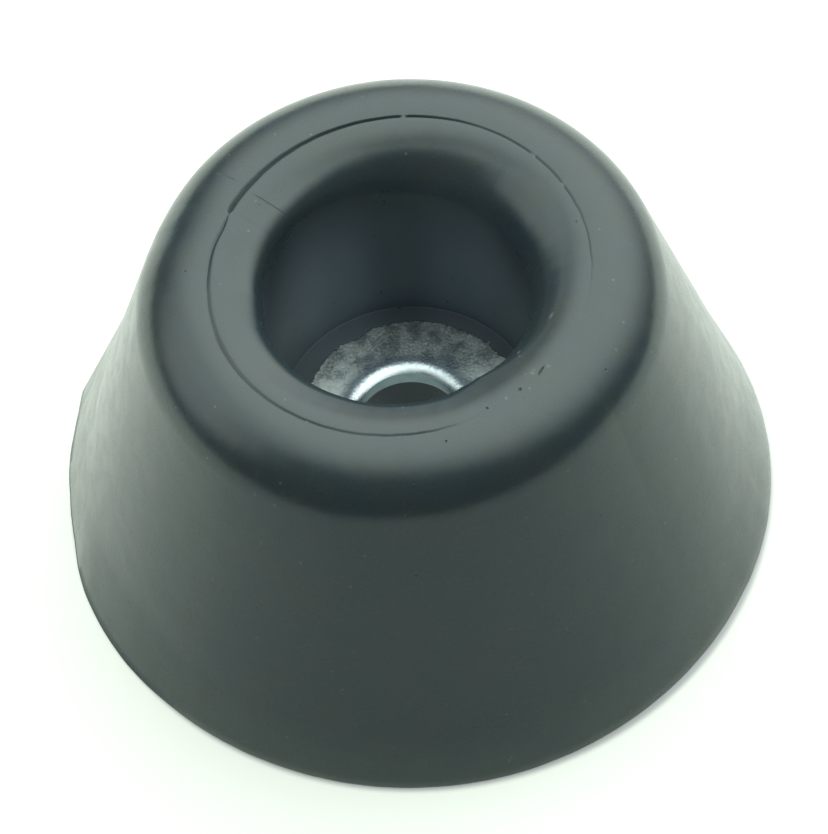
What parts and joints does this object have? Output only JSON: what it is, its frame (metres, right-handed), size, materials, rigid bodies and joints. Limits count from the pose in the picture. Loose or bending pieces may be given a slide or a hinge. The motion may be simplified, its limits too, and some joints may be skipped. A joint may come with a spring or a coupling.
{
  "type": "rubber foot",
  "caption": "Round conical rubber foot with a deep screw recess in its small end and a steel washer moulded into the recess floor.",
  "frame": {"origin": "centre of the wide mounting face, the face that is screwed against the furniture", "axes": "+Z along the foot's axis from the mounting face to the contact rim of the small end; X and Y are free, as the foot is round"},
  "size_m": [0.0382, 0.0382, 0.02],
  "materials": {
    "rubber": "satin black moulded rubber",
    "zinc_steel": "zinc plated, dull and mottled"
  },
  "bodies": {
    "root": {"rubber_body": "rubber", "steel_washer": "zinc_steel"}
  },
  "joints": []
}
